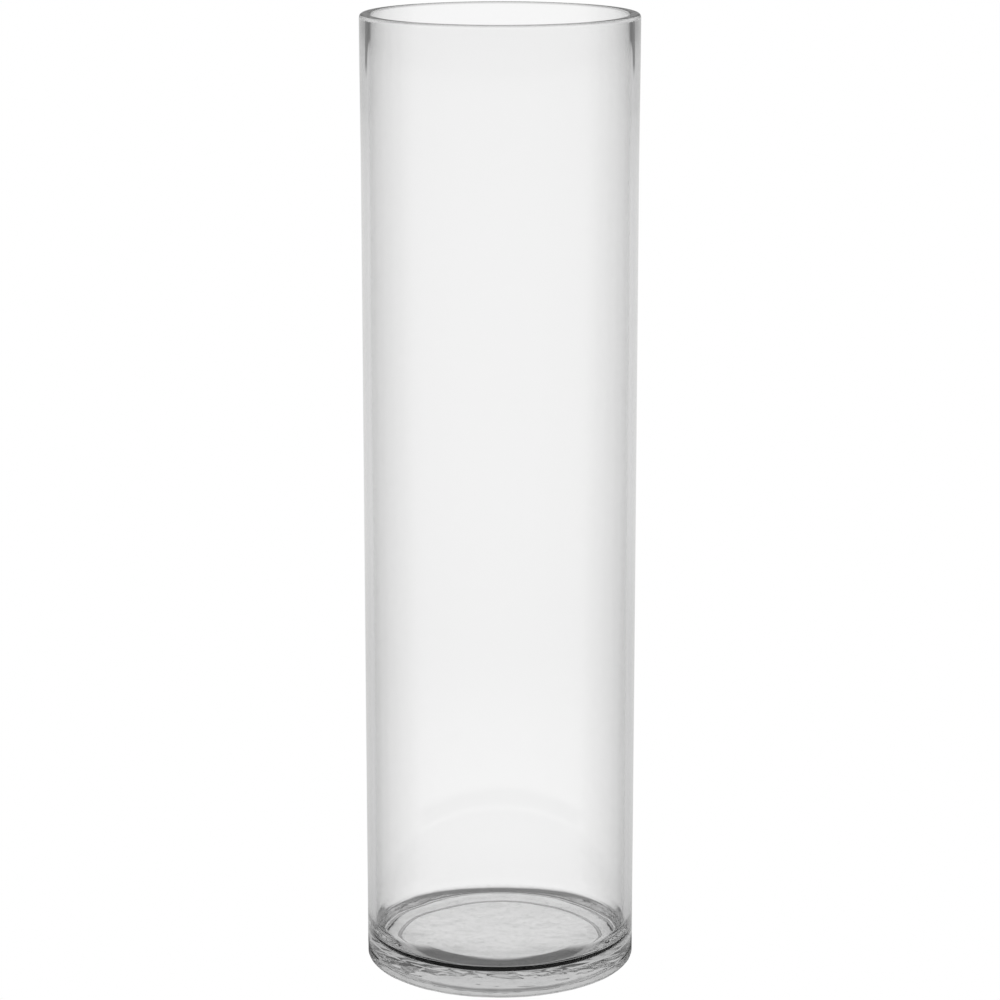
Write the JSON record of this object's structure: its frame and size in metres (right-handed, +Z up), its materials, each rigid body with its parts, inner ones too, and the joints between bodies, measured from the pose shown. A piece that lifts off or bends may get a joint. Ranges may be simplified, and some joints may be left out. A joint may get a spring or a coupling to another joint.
{
  "type": "glass cylinder vase",
  "caption": "Tall straight-sided clear glass vase with a thick base and a ground flat rim, for holding cut flower stems in water.",
  "frame": {"origin": "centre of the ring that the vase stands on, on the surface under it", "axes": "+Z up along the vase's axis, out of the mouth; the vase is round, so +X and +Y are free"},
  "size_m": [0.101, 0.101, 0.3556],
  "materials": {
    "glass": "clear, fire-polished, very slightly wavy"
  },
  "bodies": {
    "root": {"vase": "glass"}
  },
  "joints": []
}
